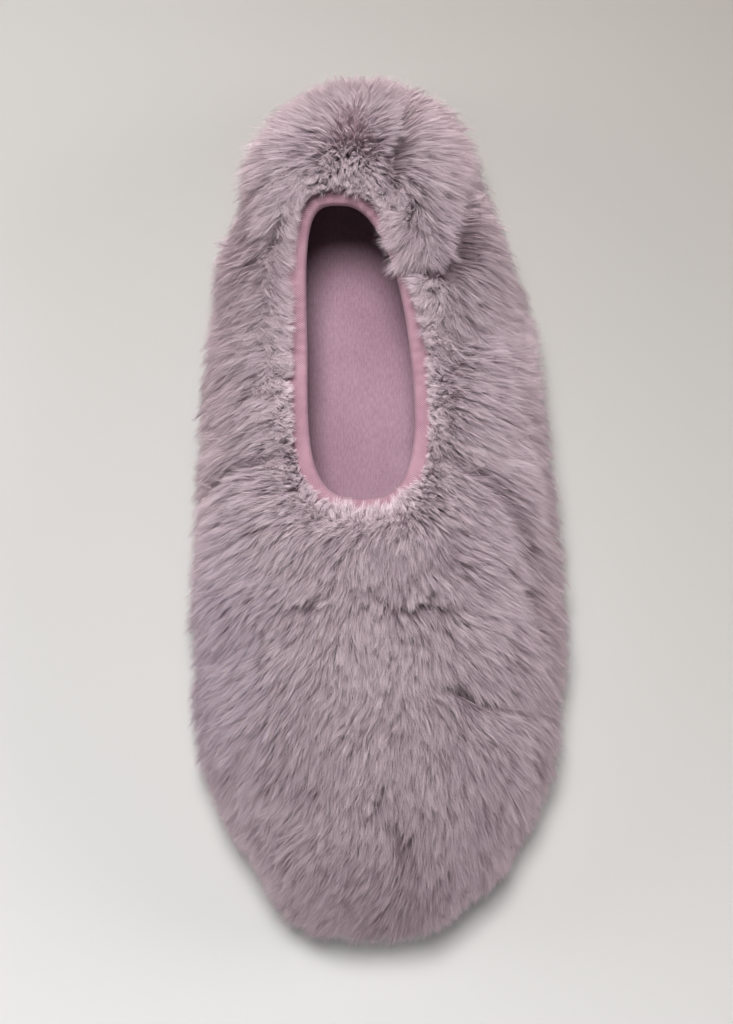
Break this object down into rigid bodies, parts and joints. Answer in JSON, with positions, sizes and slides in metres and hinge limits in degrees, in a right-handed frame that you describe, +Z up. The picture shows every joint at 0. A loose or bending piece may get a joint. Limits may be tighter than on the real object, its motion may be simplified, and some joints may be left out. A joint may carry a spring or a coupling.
{
  "type": "fluffy house slipper",
  "caption": "Closed pull-on house slipper with a long-pile faux-fur upper, a bound elasticated mouth, a cushioned woven insole and a soft moulded sole.",
  "frame": {"origin": "on the floor, under the middle of the slipper's bounding box", "axes": "+Z up from the floor, -Y towards the toe, +Y towards the heel, +X towards the outer side of the left foot"},
  "size_m": [0.1134, 0.2688, 0.0622],
  "materials": {
    "fur": "long soft faux-fur pile, matt",
    "padding": "soft polyester wadding",
    "lining": "fine brushed knit lining",
    "counter": "thin fibreboard stiffener, matt",
    "binding": "folded woven bias tape, matt",
    "elastic": "flat braided elastic",
    "thread": "spun polyester thread",
    "insole": "fine woven cloth, matt",
    "board": "fibreboard, matt",
    "foam": "open-cell foam",
    "sole": "moulded soft rubber, satin"
  },
  "bodies": {
    "root": {"vamp_fur": "fur", "vamp_padding": "padding", "vamp_lining": "lining", "inner_quarter_fur": "fur", "inner_quarter_padding": "padding", "inner_quarter_lining": "lining", "outer_quarter_fur": "fur", "outer_quarter_padding": "padding", "outer_quarter_lining": "lining", "heel_counter": "counter", "heel_seam_tape": "binding", "mouth_binding": "binding", "mouth_elastic": "elastic", "binding_stitches": "thread", "sole_stitches": "thread", "outsole": "sole", "sole_filler": "foam", "insole_board": "board", "insole_cushion": "foam", "insole_cover": "insole"}
  },
  "joints": []
}
